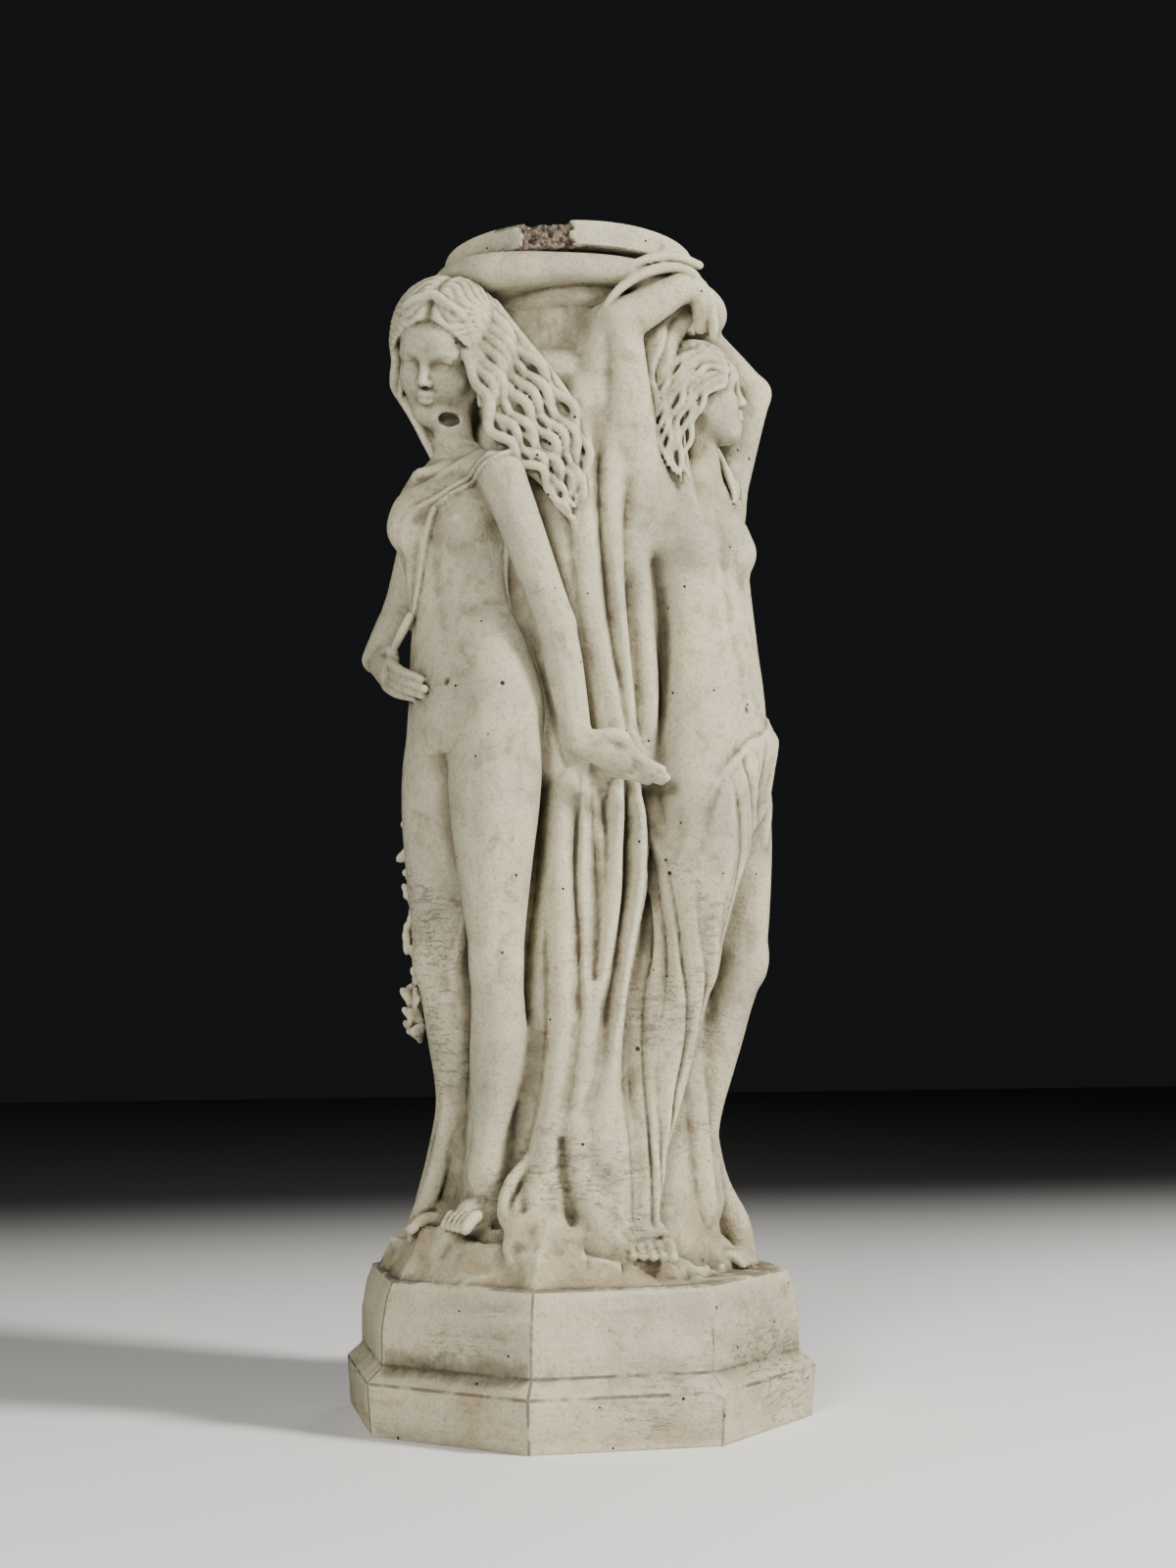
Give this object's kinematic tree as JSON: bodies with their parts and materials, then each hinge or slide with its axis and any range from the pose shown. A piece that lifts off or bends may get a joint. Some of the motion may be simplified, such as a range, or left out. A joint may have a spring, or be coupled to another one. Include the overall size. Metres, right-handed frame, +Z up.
{
  "type": "three graces garden pedestal",
  "caption": "Cast stone garden pedestal: three graces stand back to back around a draped column, on an eight-sided plinth, under a round capital.",
  "frame": {"origin": "middle of the plinth's underside", "axes": "+Z up, -Y the front between the first and second grace, +X to the viewer's right"},
  "size_m": [0.2834, 0.2834, 0.76],
  "materials": {
    "stone": "weathered cast stone, matt"
  },
  "bodies": {
    "root": {"three_graces_casting": "stone"}
  },
  "joints": []
}
